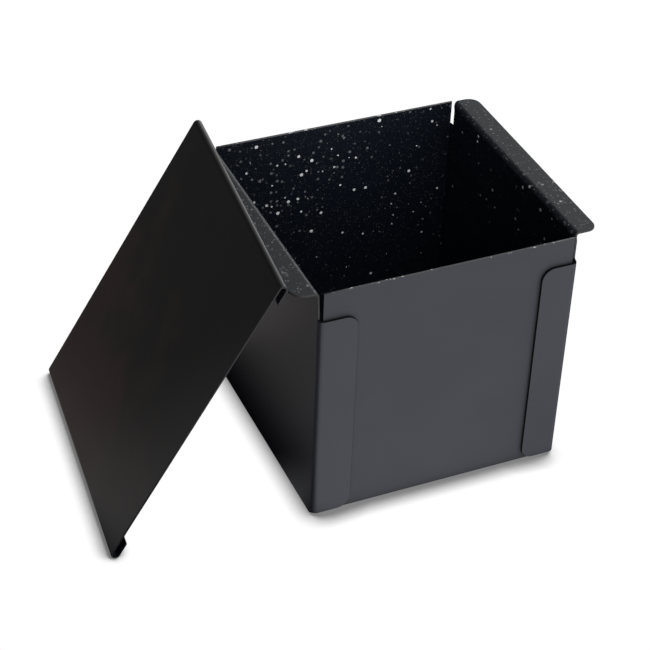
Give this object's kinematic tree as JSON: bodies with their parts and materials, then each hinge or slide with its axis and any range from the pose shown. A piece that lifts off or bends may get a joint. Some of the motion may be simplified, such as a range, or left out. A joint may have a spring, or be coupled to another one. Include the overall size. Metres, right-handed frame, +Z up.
{
  "type": "cube croissant mould",
  "caption": "Cube-shaped folded sheet-steel baking mould with outward rails along two top edges and a flat sliding lid with folded hems, shown taken off and leaning on the box.",
  "frame": {"origin": "Middle of the underside of the base, on the table.", "axes": "+Z is up, out of the open top. The front wall faces -Y. The rails run along Y, on the +X and -X sides, and the lid leans on the rail at -X."},
  "size_m": [0.1848, 0.1164, 0.1079],
  "materials": {
    "end_wall_coating": "satin dark grey coating outside, near-black speckled non-stick coating inside",
    "left_panel_coating": "satin dark grey coating outside, near-black speckled non-stick coating inside and on the rail",
    "right_panel_coating": "satin dark grey coating outside, near-black speckled non-stick coating inside and on the rail",
    "lid_coating": "smooth near-black non-stick coating"
  },
  "bodies": {
    "mould": {"end_wall_strip": "end_wall_coating", "left_side_panel": "left_panel_coating", "right_side_panel": "right_panel_coating"},
    "lid": {"sliding_lid": "lid_coating"}
  },
  "joints": [
    {"name": "lid_lift", "type": "slide", "parent": "mould", "child": "lid", "axis": [0, 0, 1], "range_m": [0, 0.12]}
  ]
}
